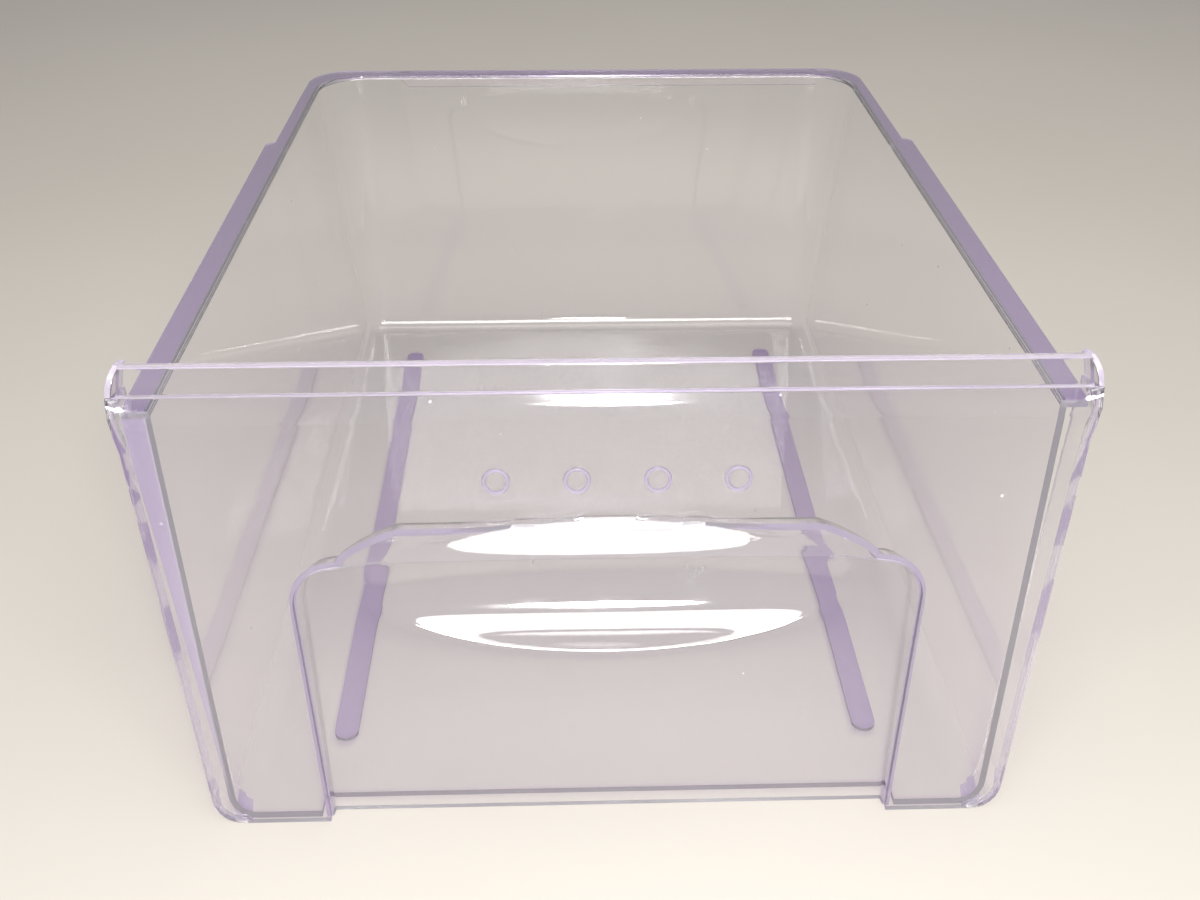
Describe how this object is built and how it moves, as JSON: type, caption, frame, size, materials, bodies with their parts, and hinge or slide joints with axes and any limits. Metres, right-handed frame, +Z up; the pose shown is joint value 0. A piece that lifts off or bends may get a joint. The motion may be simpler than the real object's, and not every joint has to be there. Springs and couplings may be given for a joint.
{
  "type": "refrigerator drawer bin",
  "caption": "Clear moulded refrigerator drawer: tapered open tub with rim flanges, leaning front panel with proud lip, arched recess and finger bowl.",
  "frame": {"origin": "under the centre of the bounding box, on the plane the bin rests on", "axes": "+Z up; -Y towards the front panel and the person who pulls it; +X to the right seen from the front"},
  "size_m": [0.343, 0.432, 0.1775],
  "materials": {
    "tub_plastic": "clear, glossy, lightly scratched inside",
    "rim_plastic": "clear, glossy, violet where seen edge-on",
    "panel_plastic": "clear, glossy, with scuffs and fine crazing at the corners",
    "handle_plastic": "clear, glossy, with fine scratches in the bowl"
  },
  "bodies": {
    "root": {"tub_floor": "tub_plastic", "left_wall": "tub_plastic", "right_wall": "tub_plastic", "back_wall": "tub_plastic", "back_left_corner": "tub_plastic", "back_right_corner": "tub_plastic", "left_floor_rib": "tub_plastic", "right_floor_rib": "tub_plastic", "left_rim": "rim_plastic", "right_rim": "rim_plastic", "back_rim": "rim_plastic", "back_rim_skirt": "rim_plastic", "front_panel": "panel_plastic", "left_panel_return": "panel_plastic", "right_panel_return": "panel_plastic", "front_lip": "panel_plastic", "left_recess_side": "handle_plastic", "right_recess_side": "handle_plastic", "recess_panel": "handle_plastic", "finger_bowl": "handle_plastic", "handle_visor": "handle_plastic"}
  },
  "joints": []
}
